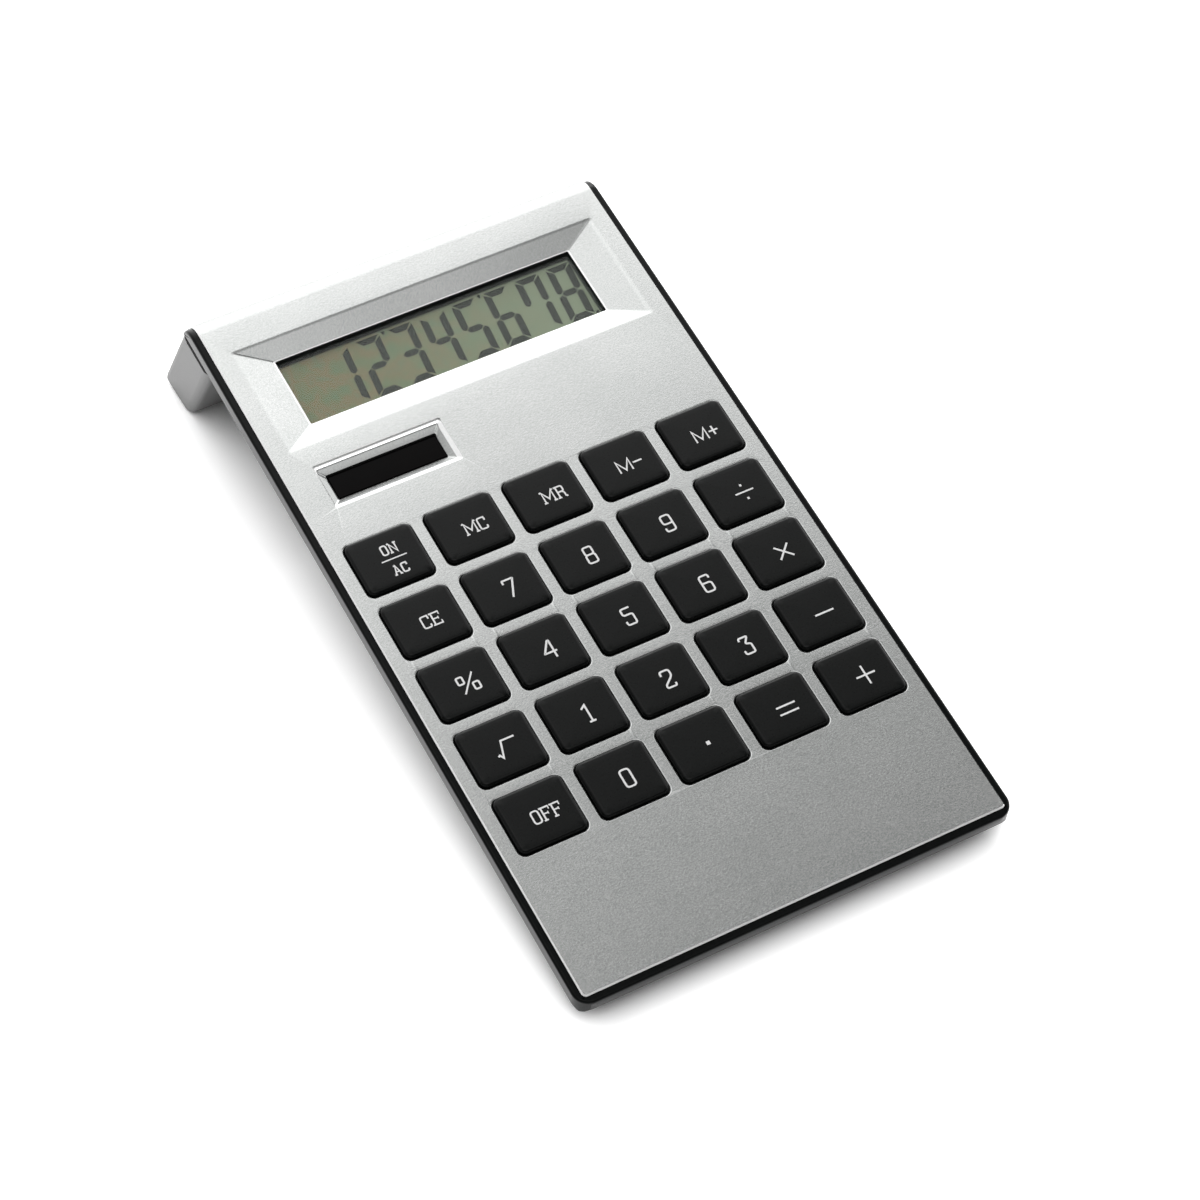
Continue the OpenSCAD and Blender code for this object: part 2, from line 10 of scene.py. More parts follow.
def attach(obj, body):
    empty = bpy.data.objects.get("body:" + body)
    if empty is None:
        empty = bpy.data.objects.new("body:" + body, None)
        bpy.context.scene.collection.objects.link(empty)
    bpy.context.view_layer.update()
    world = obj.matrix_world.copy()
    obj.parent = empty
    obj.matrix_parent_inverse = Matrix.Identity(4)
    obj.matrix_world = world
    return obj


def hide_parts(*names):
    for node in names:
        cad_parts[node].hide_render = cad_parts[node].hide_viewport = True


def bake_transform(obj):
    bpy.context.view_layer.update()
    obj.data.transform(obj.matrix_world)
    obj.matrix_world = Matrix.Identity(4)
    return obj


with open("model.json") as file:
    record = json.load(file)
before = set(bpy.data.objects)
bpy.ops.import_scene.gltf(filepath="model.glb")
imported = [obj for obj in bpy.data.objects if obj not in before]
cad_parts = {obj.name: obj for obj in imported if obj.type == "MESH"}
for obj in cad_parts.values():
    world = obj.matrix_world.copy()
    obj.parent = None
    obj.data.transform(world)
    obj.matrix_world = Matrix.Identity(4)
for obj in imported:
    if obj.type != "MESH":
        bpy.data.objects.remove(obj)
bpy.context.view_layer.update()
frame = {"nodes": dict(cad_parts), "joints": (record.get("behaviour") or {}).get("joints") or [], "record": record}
record = frame["record"]
NODES = frame["nodes"]
MM = 0.001

# ---------------------------------------------------------------- case frame
# Millimetres: x across, y up the slope from the front edge, z out of the panel's surface.
press = [j for j in frame["joints"] if j["name"] == "key_7_press"][0]["axis"]
TILT = math.atan2(press[1], -press[2])


def turned(node):
    """A node's points in millimetres, with the case's slope taken out."""
    back = Matrix.Rotation(-TILT, 4, "X")
    return [back @ v.co / MM for v in NODES[node].data.vertices]


LIP_Y = min(p.y for p in turned("rear_casing"))
LIP_Z = max(p.z for p in turned("front_panel"))
CASE = Matrix.Rotation(TILT, 4, "X") @ Matrix.Translation((0, LIP_Y * MM, LIP_Z * MM)) @ Matrix.Scale(MM, 4)


UP = (CASE.to_3x3() @ Vector((0, 0, 1))).normalized()


def case_box(node):
    """The corners of a node's box in the case frame."""
    points = [p - Vector((0, LIP_Y, LIP_Z)) for p in turned(node)]
    low = Vector([min(p[i] for p in points) for i in range(3)])
    high = Vector([max(p[i] for p in points) for i in range(3)])
    return low, high


# ---------------------------------------------------------------- materials
def material(name):
    m = bpy.data.materials.new(name)
    m.use_nodes = True
    nt = m.node_tree
    return m, nt, nt.nodes["Principled BSDF"]


def put(nt, kind, **values):
    n = nt.nodes.new(kind)
    for k, v in values.items():
        if k in n.inputs:
            n.inputs[k].default_value = v
        else:
            setattr(n, k, v)
    return n


def noise(nt, scale, detail=2.0, rough=0.5, stretch=None):
    coords = nt.nodes.new("ShaderNodeTexCoord")
    n = put(nt, "ShaderNodeTexNoise", Scale=scale, Detail=detail, Roughness=rough)
    if stretch:
        mapping = nt.nodes.new("ShaderNodeMapping")
        mapping.inputs["Scale"].default_value = stretch
        nt.links.new(coords.outputs["Object"], mapping.inputs["Vector"])
        nt.links.new(mapping.outputs["Vector"], n.inputs["Vector"])
    else:
        nt.links.new(coords.outputs["Object"], n.inputs["Vector"])
    return n.outputs["Fac"]


def ramp(nt, fac, stops):
    r = nt.nodes.new("ShaderNodeValToRGB")
    r.color_ramp.elements[0].position = stops[0][0]
    r.color_ramp.elements[0].color = (*stops[0][1], 1)
    r.color_ramp.elements[1].position = stops[-1][0]
    r.color_ramp.elements[1].color = (*stops[-1][1], 1)
    for at, colour in stops[1:-1]:
        e = r.color_ramp.elements.new(at)
        e.color = (*colour, 1)
    nt.links.new(fac, r.inputs["Fac"])
    return r.outputs["Color"]


def bump(nt, bsdf, height, strength, distance):
    b = put(nt, "ShaderNodeBump", Strength=strength, Distance=distance)
    nt.links.new(height, b.inputs["Height"])
    nt.links.new(b.outputs["Normal"], bsdf.inputs["Normal"])


def grained(name, low, high, rough, scale, strength=0.2, distance=0.00005, metal=0.0, spread=0.05, spec=0.5,
            stretch=None, tint=1.0):
    """A surface whose colour, roughness and relief vary on a fine grain."""
    m, nt, bsdf = material(name)
    fine = noise(nt, scale, 3.0, 0.6, stretch)
    broad = noise(nt, scale / 40, 2.0, 0.5)
    mix = put(nt, "ShaderNodeMix", data_type="FLOAT")
    mix.inputs[0].default_value = 0.25
    nt.links.new(fine, mix.inputs[2])
    nt.links.new(broad, mix.inputs[3])
    nt.links.new(ramp(nt, mix.outputs[0], [(0.3, low), (0.7, high)]), bsdf.inputs["Base Color"])
    to_rough = put(nt, "ShaderNodeMapRange")
    to_rough.inputs[3].default_value = max(0.02, rough - spread)
    to_rough.inputs[4].default_value = min(1.0, rough + spread)
    nt.links.new(fine, to_rough.inputs[0])
    nt.links.new(to_rough.outputs[0], bsdf.inputs["Roughness"])
    bsdf.inputs["Metallic"].default_value = metal
    bsdf.inputs["Specular IOR Level"].default_value = spec
    bsdf.inputs["Specular Tint"].default_value = (tint, tint, tint, 1)
    bump(nt, bsdf, fine, strength, distance)
    return m


def grey(v):
    return (v, v, v)


SILVER = grained("silver_paint", (0.375, 0.388, 0.380), (0.475, 0.480, 0.475), 0.24, 2600, 0.45, 0.00003,
                 metal=0.9)
# a duller copy of the silver paint for the foot; its darker colour is painted shade
SHADED_FOOT_SILVER = grained("foot_silver", grey(0.14), grey(0.18), 0.48, 2300, 0.3, 0.00003, metal=0.6)
# a light cut edge, painted near white as the highlight that the panel's edges catch
CUT_GLINT = grained("cut_edge", grey(0.82), grey(0.92), 0.25, 3000, 0.1, 0.00001, metal=0.2)
RIM = grained("black_gloss", (0.003, 0.0035, 0.0035), (0.005, 0.0055, 0.0055), 0.18, 900, 0.05, 0.00002,
              spec=0.14, tint=0.45)
MATTE = grained("black_matte", grey(0.010), grey(0.018), 0.55, 1500, 0.2, 0.00003)
KEY = grained("key_rubber", (0.0008, 0.0012, 0.0011), (0.0018, 0.0024, 0.0022), 0.29, 2600, 0.3, 0.00003,
              spec=0.15)
PRINT = grained("white_print", grey(0.62), grey(0.70), 0.6, 4000, 0.1, 0.00001)
DARK_CELL = grained("solar_glass", (0.0015, 0.0012, 0.0012), (0.003, 0.0022, 0.0022), 0.08, 500, 0.02,
                    0.00001)
SMOKE = grained("smoked_plastic", (0.0016, 0.0014, 0.0014), (0.0026, 0.0022, 0.0022), 0.12, 700, 0.02,
                0.00001, spec=0.03)
FOOT_RUBBER = grained("foot_rubber", grey(0.02), grey(0.035), 0.7, 1800, 0.3, 0.00005)
MAT_RUBBER = grained("keypad_rubber", (0.50, 0.51, 0.49), (0.60, 0.61, 0.59), 0.55, 1500, 0.2, 0.00003)
CARBON = grained("carbon_rubber", grey(0.01), grey(0.02), 0.75, 2500, 0.3, 0.00003)
STEEL = grained("screw_steel", grey(0.46), grey(0.58), 0.3, 1800, 0.15, 0.00002, metal=1.0)
CELL = grained("cell_steel", grey(0.56), grey(0.66), 0.25, 1500, 0.1, 0.00001, metal=1.0, stretch=(1, 8, 1))
BRASS = grained("contact_brass", (0.60, 0.45, 0.18), (0.72, 0.56, 0.26), 0.28, 1600, 0.1, 0.00001, metal=1.0)
FOAM = grained("foam", grey(0.03), grey(0.06), 0.95, 2500, 0.9, 0.0002)
FILM = grained("display_film", (0.34, 0.37, 0.27), (0.40, 0.43, 0.32), 0.5, 1500, 0.05, 0.00001)
AMBER = grained("ribbon_film", (0.50, 0.28, 0.06), (0.60, 0.36, 0.10), 0.3, 900, 0.1, 0.00001)
CAN = grained("capacitor_can", (0.04, 0.07, 0.18), (0.06, 0.10, 0.24), 0.35, 1200, 0.1, 0.00001)
RESIN = grained("led_resin", (0.45, 0.02, 0.015), (0.55, 0.04, 0.03), 0.15, 800, 0.05, 0.00001)
CERAMIC = grained("ceramic_chip", (0.40, 0.26, 0.13), (0.50, 0.34, 0.18), 0.5, 1500, 0.1, 0.00001)
RED = grained("red_insulation", (0.42, 0.015, 0.01), (0.50, 0.03, 0.02), 0.45, 1400, 0.1, 0.00001)
BLACK_WIRE = grained("black_insulation", grey(0.01), grey(0.02), 0.45, 1400, 0.1, 0.00001)


def board_material():
    """Green board with lighter copper tracks under its mask."""
    m, nt, bsdf = material("board_laminate")
    cells = put(nt, "ShaderNodeTexBrick", Scale=160.0)
    coords = nt.nodes.new("ShaderNodeTexCoord")
    nt.links.new(coords.outputs["Object"], cells.inputs["Vector"])
    cells.inputs["Color1"].default_value = (0.02, 0.11, 0.03, 1)
    cells.inputs["Color2"].default_value = (0.03, 0.13, 0.04, 1)
    cells.inputs["Mortar"].default_value = (0.05, 0.20, 0.07, 1)
    nt.links.new(cells.outputs["Color"], bsdf.inputs["Base Color"])
    bsdf.inputs["Roughness"].default_value = 0.3
    bump(nt, bsdf, noise(nt, 800), 0.1, 0.00002)
    return m


BOARD = board_material()


# where the display's painted shade bands begin and reach their full depth, in the case frame
SIDE_BAND, REAR_BAND = (35.2, 35.5), (166.5, 167.4)


def display_material():
    """Grey-green film with a faint orange and teal mottle; painted light makes it lighter to the right.
    Painted dark bands along its rear and right edges stand for the window's shade there."""
    m, nt, bsdf = material("display_ground")
    coords = nt.nodes.new("ShaderNodeTexCoord")

    def along(axis, low, high):
        """A step from 0 to 1 between two places on an axis of the case frame."""
        direction = (CASE.to_3x3() @ Vector(axis)).normalized()
        origin = CASE.translation.dot(direction)
        dot = put(nt, "ShaderNodeVectorMath", operation="DOT_PRODUCT")
        dot.inputs[1].default_value = direction
        nt.links.new(coords.outputs["Object"], dot.inputs[0])
        step = put(nt, "ShaderNodeMapRange", interpolation_type="SMOOTHSTEP")
        step.inputs["From Min"].default_value = origin + low * MM
        step.inputs["From Max"].default_value = origin + high * MM
        nt.links.new(dot.outputs["Value"], step.inputs["Value"])
        return step.outputs["Result"]

    def mixed(fac, a, b):
        mix = put(nt, "ShaderNodeMix", data_type="RGBA")
        nt.links.new(fac, mix.inputs[0])
        for value, socket in ((a, mix.inputs[6]), (b, mix.inputs[7])):
            if isinstance(value, tuple):
                socket.default_value = (*value, 1)
            else:
                nt.links.new(value, socket)
        return mix.outputs[2]

    blotch = noise(nt, 230, 2.0, 0.55)
    base = ramp(nt, blotch, [(0.30, (0.120, 0.172, 0.095)), (0.46, (0.152, 0.164, 0.084)),
                             (0.56, (0.188, 0.152, 0.080)), (0.70, (0.132, 0.172, 0.098))])
    # painted light: the film grows lighter towards the right
    painted_light_right = mixed(along((1, 0, 0), -30, 38), base, (0.200, 0.240, 0.160))
    side = mixed(along((1, 0, 0), *SIDE_BAND), painted_light_right, (0.045, 0.050, 0.048))
    shade = mixed(along((0, 1, 0), *REAR_BAND), side, (0.024, 0.027, 0.026))
    nt.links.new(shade, bsdf.inputs["Base Color"])
    bsdf.inputs["Roughness"].default_value = 0.45
    bsdf.inputs["Specular IOR Level"].default_value = 0.25
    bump(nt, bsdf, noise(nt, 2500), 0.05, 0.00001)
    return m


LCD = display_material()
SEGMENT = grained("display_segment", (0.016, 0.020, 0.015), (0.022, 0.026, 0.020), 0.5, 2500, 0.05, 0.00001,
                  spec=0.2)


def clear_material(name, tint, rough=0.02):
    m, nt, bsdf = material(name)
    out = [n for n in nt.nodes if n.type == "OUTPUT_MATERIAL"][0]
    clear = put(nt, "ShaderNodeBsdfTransparent")
    clear.inputs["Color"].default_value = (*tint, 1)
    gloss = put(nt, "ShaderNodeBsdfGlossy")
    gloss.inputs["Color"].default_value = (0.9, 0.9, 0.9, 1)
    speck = put(nt, "ShaderNodeMapRange")
    speck.inputs[3].default_value = rough
    speck.inputs[4].default_value = rough + 0.03
    nt.links.new(noise(nt, 400), speck.inputs[0])
    nt.links.new(speck.outputs[0], gloss.inputs["Roughness"])
    facing = put(nt, "ShaderNodeMixShader")
    facing.inputs[0].default_value = 0.012
    nt.links.new(clear.outputs[0], facing.inputs[1])
    nt.links.new(gloss.outputs[0], facing.inputs[2])
    nt.links.new(facing.outputs[0], out.inputs["Surface"])
    return m


CLEAR = clear_material("clear_plastic", (0.97, 0.98, 0.97))
GLASS = clear_material("display_glass", (0.93, 0.96, 0.92))

FINISH = {
    "silver_paint": SILVER, "black_gloss": RIM, "black_matte": MATTE, "key_rubber": KEY,
    "display_film": FILM, "clear_plastic": CLEAR, "display_glass": GLASS, "smoked_plastic": SMOKE,
    "solar_glass": DARK_CELL, "foot_rubber": FOOT_RUBBER, "keypad_rubber": MAT_RUBBER,
    "carbon_rubber": CARBON, "screw_steel": STEEL, "cell_steel": CELL, "contact_brass": BRASS,
    "foam": FOAM, "ribbon_film": AMBER, "capacitor_can": CAN, "led_resin": RESIN,
    "ceramic_chip": CERAMIC, "red_insulation": RED, "black_insulation": BLACK_WIRE,
    "board_laminate": BOARD,
}
SLOT_OF = {s["node"]: s["material_slot"] for s in record["subparts"]}
BODY_OF = {n: body for body, nodes in record["behaviour"]["bodies"].items() for n in nodes}


# ---------------------------------------------------------------- mesh helpers
def make(name, verts, faces, mats, body, replaced=(), face_mats=None, smooth=True):
    """A mesh object from case-frame points in millimetres."""
    mesh = bpy.data.meshes.new(name)
    mesh.from_pydata([CASE @ Vector(v) for v in verts], [], faces)
    mesh.validate()
    for m in mats:
        mesh.materials.append(m)
    if face_mats:
        for p, i in zip(mesh.polygons, face_mats):
            p.material_index = i
    for p in mesh.polygons:
        p.use_smooth = smooth
    obj = bpy.data.objects.new(name, mesh)
    bpy.context.scene.collection.objects.link(obj)
    if body:
        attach(obj, body)
    if replaced:
        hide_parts(*replaced)
    if smooth:
        w = obj.modifiers.new("weighted", "WEIGHTED_NORMAL")
        w.keep_sharp = True
        w.weight = 100
    return obj


def detail(node, width, segments=3, angle=35, mat=None, weigh=None):
    """A copy of a CAD solid with its facets merged, its edges rounded and its shading smoothed.
    weigh gives the share of the width that an edge gets, from its ends in the case frame."""
    src = NODES[node]
    mesh = src.data.copy()
    mesh.name = node + "_detail"
    bm = bmesh.new()
    bm.from_mesh(mesh)
    bmesh.ops.remove_doubles(bm, verts=bm.verts, dist=1e-6)
    bmesh.ops.dissolve_limit(bm, angle_limit=math.radians(0.6), use_dissolve_boundaries=False,
                             verts=bm.verts, edges=bm.edges)
    if weigh:
        to_case = CASE.inverted()
        layer = bm.edges.layers.float.new("bevel_weight_edge")
        for e in bm.edges:
            if len(e.link_faces) == 2 and e.calc_face_angle() > math.radians(angle):
                e[layer] = weigh(to_case @ e.verts[0].co, to_case @ e.verts[1].co)
    bm.to_mesh(mesh)
    bm.free()
    mesh.materials.clear()
    mesh.materials.append(mat or FINISH[SLOT_OF[node]])
    for p in mesh.polygons:
        p.use_smooth = True
        p.material_index = 0
    obj = bpy.data.objects.new(mesh.name, mesh)
    bpy.context.scene.collection.objects.link(obj)
    b = obj.modifiers.new("edges", "BEVEL")
    b.width = width * MM
    b.segments = segments
    b.limit_method = "WEIGHT" if weigh else "ANGLE"
    b.angle_limit = math.radians(angle)
    b.use_clamp_overlap = not weigh
    b.harden_normals = False
    w = obj.modifiers.new("weighted", "WEIGHTED_NORMAL")
    w.keep_sharp = True
    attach(obj, BODY_OF[node])
    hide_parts(node)


def rounded_box(at, size, r, corner=8):
    """Corner points of a round-cornered rectangle, counter-clockwise."""
    w, h = size[0] / 2 - r, size[1] / 2 - r
    out = []
    for k, (sx, sy) in enumerate([(1, 1), (-1, 1), (-1, -1), (1, -1)]):
        for i in range(corner + 1):
            a = math.radians(90 * k + 90 * i / corner)
            out.append((at[0] + sx * w + r * math.cos(a), at[1] + sy * h + r * math.sin(a)))
    return out


class Sheet:
    """Collects points and faces in the case frame."""

    def __init__(self):
        self.verts, self.faces, self.mats = [], [], []

    def add(self, points):
        start = len(self.verts)
        self.verts.extend(points)
        return list(range(start, len(self.verts)))

    def face(self, ids, mat=0):
        self.faces.append(ids)
        self.mats.append(mat)

    def bridge(self, a, b, mat=0, flip=False):
        n = len(a)
        for i in range(n):
            j = (i + 1) % n
            q = (a[i], a[j], b[j], b[i])
            self.face(q[::-1] if flip else q, mat)


def cut_sheet(outline, cuts, guides=()):
    """A flat sheet with holes: its points, its faces, and the point numbers of each loop.
    guides are pairs of outline points that an edge joins."""
    points, edges, loops = [], list(guides), []
    for pts in [outline] + cuts:
        ids = [len(points) + i for i in range(len(pts))]
        points += [Vector(p) for p in pts]
        edges += [(ids[i - 1], ids[i]) for i in range(len(ids))]
        loops.append(ids)
    verts, _, faces, _, _, _ = delaunay_2d_cdt(points, edges, [], 2, 1e-6)

    def inside(p, ids):
        hit = False
        for i in range(len(ids)):
            a, b = points[ids[i - 1]], points[ids[i]]
            if (a.y > p.y) != (b.y > p.y) and p.x < (b.x - a.x) * (p.y - a.y) / (b.y - a.y) + a.x:
                hit = not hit
        return hit

    kept = []
    for f in faces:
        c = sum((verts[i] for i in f), Vector((0, 0))) / len(f)
        if inside(c, loops[0]) and not any(inside(c, h) for h in loops[1:]):
            kept.append(f)
    return verts, kept, loops


def mark_sharp(bm, angle):
    for e in bm.edges:
        if len(e.link_faces) == 2 and e.calc_face_angle() > math.radians(angle):
            e.smooth = False


def turn_print_up(bm):
    """Turns the flat printed faces, which are in the second material, to face up."""
    for f in bm.faces:
        if f.material_index == 1 and f.normal.dot(UP) < 0:
            f.normal_flip()


def face_up(obj, sharp):
    """Turns the faces outward and marks the edges that stay sharp."""
    bm = bmesh.new()
    bm.from_mesh(obj.data)
    bmesh.ops.remove_doubles(bm, verts=bm.verts, dist=1e-7)
    bmesh.ops.recalc_face_normals(bm, faces=bm.faces)
    flat = max(bm.faces, key=lambda f: f.calc_area())
    if flat.normal.dot(UP) < 0:
        bmesh.ops.reverse_faces(bm, faces=bm.faces)
    mark_sharp(bm, sharp)
    bm.to_mesh(obj.data)
    bm.free()


# ---------------------------------------------------------------- front panel
PANEL_LOW, PANEL_HIGH = case_box("front_panel")
LEDGE = PANEL_LOW.y
PANEL_W = PANEL_HIGH.x - PANEL_LOW.x
ROLL_Y, ROLL_R, TURN, TAIL = 180.0, 6.5, math.radians(67), 0.7
KEY_BOXES = {n: case_box(n) for n in NODES if n.startswith("key_")}
HOLE = (15.6, 14.1)
PANEL_T = 1.5


def bend(x, s, d):
    """A point s along the panel's skin and d below it."""
    if s <= ROLL_Y:
        return (x, s, -d)
    a = min((s - ROLL_Y) / ROLL_R, TURN)
    past = max(0.0, s - ROLL_Y - TURN * ROLL_R)
    y = ROLL_Y + (ROLL_R - d) * math.sin(a) + past * math.cos(a)
    z = -ROLL_R + (ROLL_R - d) * math.cos(a) - past * math.sin(a)
    return (x, y, z)


def build_panel():
    sheet = Sheet()
    edge = 0.30
    end = ROLL_Y + TURN * ROLL_R + TAIL
    w = PANEL_W / 2

    def outline(inset):
        r = 1.0
        pts = []
        for k, (sx, a0) in enumerate([(-1, 180), (1, 270)]):
            for i in range(7):
                a = math.radians(a0 + 90 * i / 6)
                pts.append((sx * (w - r) + (r - inset) * math.cos(a),
                            LEDGE + r + (r - inset) * math.sin(a)))
        steps = 24
        rows = [LEDGE + 12 + (ROLL_Y - LEDGE - 12) * i / 6 for i in range(7)]
        rows += [ROLL_Y + TURN * ROLL_R * i / steps for i in range(1, steps + 1)] + [end]
        pts += [(w - inset, s) for s in rows]
        pts += [(-(w - inset), s) for s in reversed(rows)]
        return pts

    rim = outline(edge)
    half = len(rim) - 14
    left, right = list(range(14 + half // 2, len(rim)))[::-1], list(range(14, 14 + half // 2))
    holes = [((low.x + high.x) / 2, (low.y + high.y) / 2) for low, high in KEY_BOXES.values()]
    hole_r, lip = 1.6, 0.45

    def hole(at, grow):
        return rounded_box(at, (HOLE[0] + 2 * grow, HOLE[1] + 2 * grow), hole_r + grow)

    def framed(x0, x1, y0, y1, r, upper=1.0):
        """A round-cornered rectangle with an extra point on each side, just below its upper corners."""
        pts = rounded_box(((x0 + x1) / 2, (y0 + y1) / 2), (x1 - x0, y1 - y0), r)
        below = y1 - r - upper
        return [(x1, below)] + pts[:18] + [(x0, below)] + pts[18:]

    # each level of a recess: its edges, its corners, and its depth at the sides and at the rear
    display = [
        ((-44.55, 44.55, 143.05, 173.15), 0.8, 0.0, 0.0), ((-43.7, 43.7, 143.7, 172.5), 0.5, 0.08, 0.08),
        ((-43.05, 43.05, 144.15, 172.1), 0.5, 0.28, 0.28), ((-36.4, 36.4, 149.45, 168.4), 0.4, 2.27, 2.27),
        ((-36.0, 36.0, 149.7, 168.1), 0.35, 2.3, 2.3), ((-36.0, 36.0, 149.7, 168.1), 0.35, 3.1, 3.1),
    ]
    solar = [
        ((-41.45, -11.25, 126.0, 138.0), 0.35, 0.0, 0.0), ((-41.35, -11.4, 126.2, 137.88), 0.32, 0.06, 0.34),
        ((-41.1, -12.3, 127.1, 136.85), 0.25, 0.5, 0.03), ((-41.0, -12.45, 127.25, 136.5), 0.25, 0.55, 0.38),
        ((-39.75, -13.65, 128.5, 135.15), 0.4, 1.28, 0.76), ((-39.5, -13.75, 128.7, 135.08), 0.4, 1.4, 1.4),
        ((-39.5, -13.75, 128.7, 135.08), 0.4, 2.6, 2.6),
    ]
    levels = {"display": [(framed(*b, r), side, rear) for b, r, side, rear in display],
              "solar": [(framed(*b, r), side, rear) for b, r, side, rear in solar]}
    cuts = [hole(at, lip) for at in holes] + [levels["display"][0][0], levels["solar"][0][0]]
    verts, faces, loops = cut_sheet(rim, cuts, list(zip(right[6:], left[6:])))
    base = sheet.add([bend(v.x, v.y, 0) for v in verts])
    for f in faces:
        sheet.face([base[i] for i in f])

    def rings(ids, sections, flip, mats=None):
        last = [base[i] for i in ids]
        for k, (pts, deep) in enumerate(sections):
            deep = deep if isinstance(deep, list) else [deep] * len(pts)
            new = sheet.add([bend(x, y, d) for (x, y), d in zip(pts, deep)])
            sheet.bridge(last, new, mats[k] if mats else 0, flip)
            last = new

    # outer edge: a cut chamfer painted bright as a highlight, then down to the ledge
    wall = outline(0.0)
    rings(loops[0], [(wall, edge), (wall, PANEL_T * 0.6), (wall, PANEL_T)], True, [1, 0, 0])
    # the chamfer's right side is painted black, with the painted highlight left out there
    for k, (ids, mat) in enumerate(zip(sheet.faces, sheet.mats)):
        if mat == 1 and all(sheet.verts[i][0] > w - 0.4 for i in ids):
            sheet.mats[k] = 3
    # key holes: a rounded lip, then the wall
    for ids, at in zip(loops[1:], holes):
        sections = []
        for i in range(1, 7):
            a = math.radians(90 * i / 6)
            sections.append((hole(at, lip * (1 - math.sin(a))), lip * (1 - math.cos(a))))
        rings(ids, sections + [(hole(at, 0), PANEL_T)], False)
    # recesses: soft outer edges, slopes, an inner edge painted bright as a highlight, then the opening's wall
    for ids, name, mats in ((loops[-2], "display", [0, 0, 0, 1, 2]),
                            (loops[-1], "solar", [0, 1, 0, 0, 2, 2])):
        sections = []
        for pts, side, rear in levels[name][1:]:
            sections.append((pts, [rear if 1 <= i <= 18 else side for i in range(len(pts))]))
        rings(ids, sections, False, mats)
    obj = make("panel_skin", sheet.verts, sheet.faces, [SILVER, CUT_GLINT, MATTE, RIM], "case",
               ["front_panel"], sheet.mats)
    face_up(obj, 40)


build_panel()


# ---------------------------------------------------------------- keys
def arc_corner(points, r, closed=False, steps=4):
    """Rounds a polyline's corners."""
    out = []
    n = len(points)
    for i, p in enumerate(points):
        if not closed and i in (0, n - 1):
            out.append(p)
            continue
        a, b = Vector(points[i - 1]), Vector(points[(i + 1) % n])
        q = Vector(p)
        u, v = (a - q), (b - q)
        k = min(r, u.length * 0.49, v.length * 0.49)
        s, e = q + u.normalized() * k, q + v.normalized() * k
        for j in range(steps + 1):
            t = j / steps
            c = s * (1 - t) * (1 - t) + q * 2 * t * (1 - t) + e * t * t
            out.append((c.x, c.y))
    return out


def ribbon(points, w, closed=False):
    """Quads of a pen line of width w."""
    pts = [Vector(p) for p in points]
    n = len(pts)
    left, right = [], []
    for i in range(n):
        before = pts[i - 1] if (closed or i > 0) else None
        after = pts[(i + 1) % n] if (closed or i < n - 1) else None
        d1 = (pts[i] - before).normalized() if before is not None else (after - pts[i]).normalized()
        d2 = (after - pts[i]).normalized() if after is not None else d1
        n1, n2 = Vector((-d1.y, d1.x)), Vector((-d2.y, d2.x))
        m = (n1 + n2)
        m = m.normalized() if m.length > 1e-6 else n1
        k = w / 2 / max(0.45, m.dot(n1))
        left.append(pts[i] + m * k)
        right.append(pts[i] - m * k)
    quads = []
    for i in range(n if closed else n - 1):
        j = (i + 1) % n
        quads.append([left[i], right[i], right[j], left[j]])
    return quads


